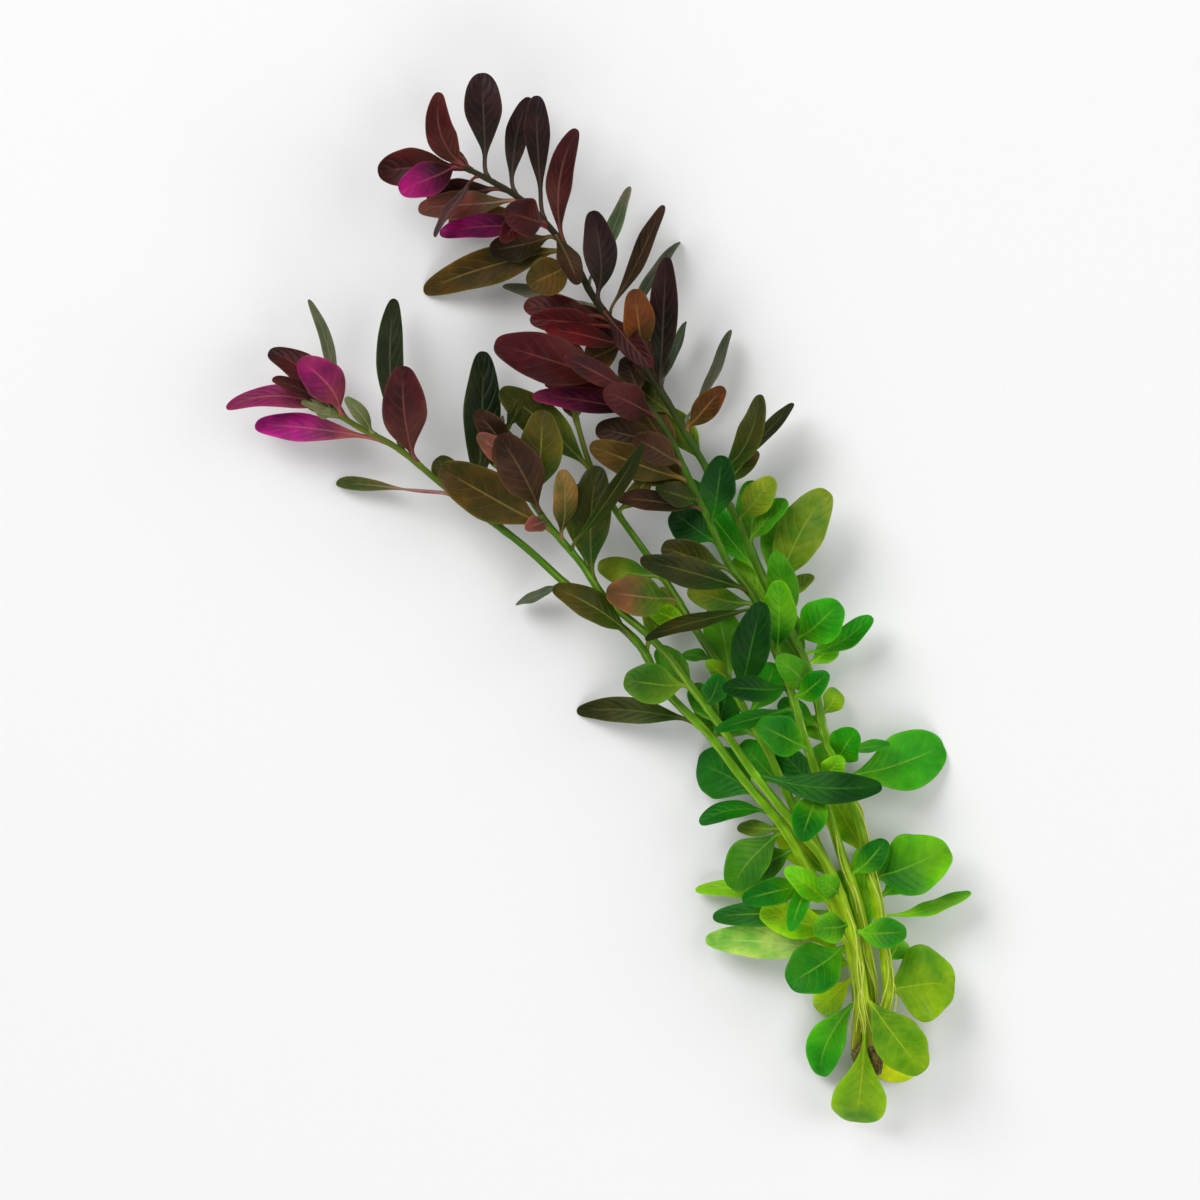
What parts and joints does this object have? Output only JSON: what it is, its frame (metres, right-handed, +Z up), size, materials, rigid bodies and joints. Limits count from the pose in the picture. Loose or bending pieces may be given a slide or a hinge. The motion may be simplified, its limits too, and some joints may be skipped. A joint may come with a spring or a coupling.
{
  "type": "ludwigia repens",
  "caption": "Leafy aquarium stem plant lying flat, its shoots rising from a short cut crown, with oval leaves in pairs that turn from yellow-green to olive, maroon and magenta.",
  "frame": {"origin": "centre of the bounding box at the surface that the plant lies on", "axes": "+Y runs from the cut crown to the tip of the tallest shoot, +X is to the right of it seen from above, +Z is up"},
  "size_m": [0.1865, 0.2625, 0.0327],
  "materials": {
    "crown": "matte",
    "stem": "satin",
    "bright_green_leaf": "satin",
    "green_leaf": "satin",
    "dark_green_leaf": "satin",
    "olive_leaf": "satin",
    "brown_leaf": "satin",
    "maroon_leaf": "satin",
    "magenta_leaf": "satin",
    "yellow_green_leaf": "satin",
    "crimson_leaf": "satin"
  },
  "bodies": {
    "root": {"crown": "crown", "stem_left": "stem", "leaf_left_01": "bright_green_leaf", "leaf_left_02": "bright_green_leaf", "leaf_left_03": "green_leaf", "leaf_left_04": "green_leaf", "leaf_left_05": "green_leaf", "leaf_left_06": "green_leaf", "leaf_left_07": "dark_green_leaf", "leaf_left_08": "olive_leaf", "leaf_left_09": "brown_leaf", "leaf_left_10": "maroon_leaf", "leaf_left_11": "brown_leaf", "leaf_left_12": "maroon_leaf", "leaf_left_13": "dark_green_leaf", "leaf_left_14": "magenta_leaf", "leaf_left_15": "magenta_leaf", "leaf_left_16": "magenta_leaf", "stem_inner": "stem", "leaf_inner_01": "yellow_green_leaf", "leaf_inner_02": "yellow_green_leaf", "leaf_inner_03": "dark_green_leaf", "leaf_inner_04": "green_leaf", "leaf_inner_05": "olive_leaf", "leaf_inner_06": "brown_leaf", "leaf_inner_07": "maroon_leaf", "leaf_inner_08": "olive_leaf", "stem_thin": "stem", "leaf_thin_01": "dark_green_leaf", "leaf_thin_02": "green_leaf", "leaf_thin_03": "olive_leaf", "leaf_thin_04": "olive_leaf", "stem_middle": "stem", "leaf_middle_01": "green_leaf", "leaf_middle_02": "olive_leaf", "leaf_middle_03": "dark_green_leaf", "leaf_middle_04": "brown_leaf", "leaf_middle_05": "brown_leaf", "leaf_middle_06": "crimson_leaf", "leaf_middle_07": "maroon_leaf", "stem_tall": "stem", "leaf_tall_01": "yellow_green_leaf", "leaf_tall_02": "yellow_green_leaf", "leaf_tall_03": "bright_green_leaf", "leaf_tall_04": "green_leaf", "leaf_tall_05": "green_leaf", "leaf_tall_06": "olive_leaf", "leaf_tall_07": "brown_leaf", "leaf_tall_08": "maroon_leaf", "leaf_tall_09": "crimson_leaf", "leaf_tall_10": "maroon_leaf", "leaf_tall_11": "olive_leaf", "leaf_tall_12": "maroon_leaf", "leaf_tall_13": "magenta_leaf", "leaf_tall_14": "maroon_leaf", "leaf_tall_15": "brown_leaf", "leaf_tall_16": "maroon_leaf", "leaf_tall_17": "maroon_leaf", "leaf_tall_18": "brown_leaf", "leaf_tall_19": "magenta_leaf"}
  },
  "joints": []
}
